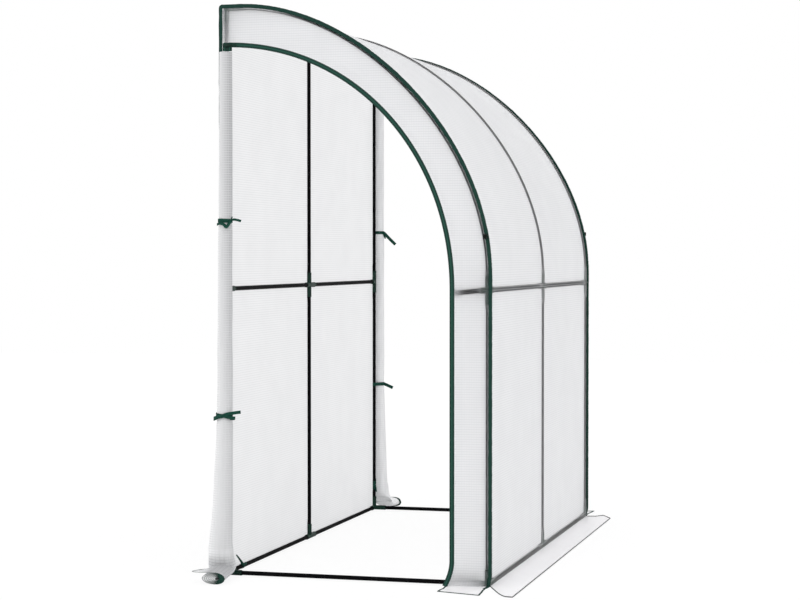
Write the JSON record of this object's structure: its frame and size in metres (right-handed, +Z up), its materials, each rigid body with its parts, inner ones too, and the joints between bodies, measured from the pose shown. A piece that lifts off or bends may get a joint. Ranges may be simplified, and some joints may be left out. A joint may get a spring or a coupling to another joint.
{
  "type": "lean-to greenhouse",
  "caption": "Walk-in lean-to greenhouse: curved steel tube frame, sewn cover of mesh film, arched end doorways with rolled-up zip doors and ground skirts.",
  "frame": {"origin": "on the ground, below the centre wall post, at the underside of its bottom connector", "axes": "+X away from the wall, +Y along the wall towards the far end, +Z up"},
  "size_m": [1.1897, 2.4132, 2.133],
  "materials": {
    "black_steel": "satin black powder coat",
    "green_plastic": "moulded, dark green",
    "mesh_film": "milky film with a fine square mesh",
    "skirt_film": "white film with a fine square mesh",
    "green_tape": "woven, dark green",
    "green_ribbon": "woven, dark green",
    "slider_plastic": "moulded, dark green"
  },
  "bodies": {
    "frame_and_cover": {"wall_post_lower_near": "black_steel", "wall_post_lower_centre": "black_steel", "wall_post_lower_far": "black_steel", "wall_post_upper_near": "black_steel", "wall_post_upper_centre": "black_steel", "wall_post_upper_far": "black_steel", "front_leg_near": "black_steel", "front_leg_centre": "black_steel", "front_leg_far": "black_steel", "arch_tube_near": "black_steel", "arch_tube_centre": "black_steel", "arch_tube_far": "black_steel", "wall_bottom_bar_near_bay": "black_steel", "wall_bottom_bar_far_bay": "black_steel", "wall_middle_bar_near_bay": "black_steel", "wall_middle_bar_far_bay": "black_steel", "ridge_bar_near_bay": "black_steel", "ridge_bar_far_bay": "black_steel", "front_base_bar_near_bay": "black_steel", "front_base_bar_far_bay": "black_steel", "front_middle_bar_near_bay": "black_steel", "front_middle_bar_far_bay": "black_steel", "near_threshold": "black_steel", "far_threshold": "black_steel", "near_stay": "black_steel", "far_stay": "black_steel", "wall_bottom_connector_near": "green_plastic", "wall_bottom_connector_centre": "green_plastic", "wall_bottom_connector_far": "green_plastic", "wall_middle_connector_near": "green_plastic", "wall_middle_connector_centre": "green_plastic", "wall_middle_connector_far": "green_plastic", "ridge_connector_near": "green_plastic", "ridge_connector_centre": "green_plastic", "ridge_connector_far": "green_plastic", "front_base_connector_near": "green_plastic", "front_base_connector_centre": "green_plastic", "front_base_connector_far": "green_plastic", "front_middle_connector_near": "green_plastic", "front_middle_connector_centre": "green_plastic", "front_middle_connector_far": "green_plastic", "roof_and_front_panel": "mesh_film", "back_panel": "mesh_film", "near_end_panel": "mesh_film", "far_end_panel": "mesh_film", "near_seam_binding": "green_tape", "far_seam_binding": "green_tape", "near_zip_tape": "green_tape", "far_zip_tape": "green_tape"},
    "near_door": {"near_rolled_door": "mesh_film", "near_door_tie_upper": "green_ribbon", "near_door_tie_lower": "green_ribbon"},
    "far_door": {"far_rolled_door": "mesh_film", "far_door_tie_upper": "green_ribbon", "far_door_tie_lower": "green_ribbon"},
    "front_flap": {"front_skirt": "skirt_film"},
    "near_flap": {"near_end_skirt": "skirt_film"},
    "far_flap": {"far_end_skirt": "skirt_film"},
    "near_slider": {"near_zip_slider": "slider_plastic"},
    "far_slider": {"far_zip_slider": "slider_plastic"}
  },
  "joints": [
    {"name": "near_door_swing", "type": "hinge", "parent": "frame_and_cover", "child": "near_door", "pos_m": [-0.019, -1.0072, 1], "axis": [0, 0, 1], "range_deg": [-45, 0]},
    {"name": "far_door_swing", "type": "hinge", "parent": "frame_and_cover", "child": "far_door", "pos_m": [-0.019, 1.0072, 1], "axis": [0, 0, 1], "range_deg": [0, 45]},
    {"name": "front_flap_fold", "type": "hinge", "parent": "frame_and_cover", "child": "front_flap", "pos_m": [1.0123, 0, 0.0012], "axis": [0, -1, 0], "range_deg": [0, 80]},
    {"name": "near_flap_fold", "type": "hinge", "parent": "frame_and_cover", "child": "near_flap", "pos_m": [0.94, -1.0023, 0.0012], "axis": [-1, 0, 0], "range_deg": [0, 80]},
    {"name": "far_flap_fold", "type": "hinge", "parent": "frame_and_cover", "child": "far_flap", "pos_m": [0.94, 1.0023, 0.0012], "axis": [1, 0, 0], "range_deg": [0, 80]},
    {"name": "near_zip_slide", "type": "slide", "parent": "frame_and_cover", "child": "near_slider", "axis": [0.9969, 0, -0.0787], "range_m": [0, 0.12]},
    {"name": "far_zip_slide", "type": "slide", "parent": "frame_and_cover", "child": "far_slider", "axis": [0.9969, 0, -0.0787], "range_m": [0, 0.12]}
  ]
}
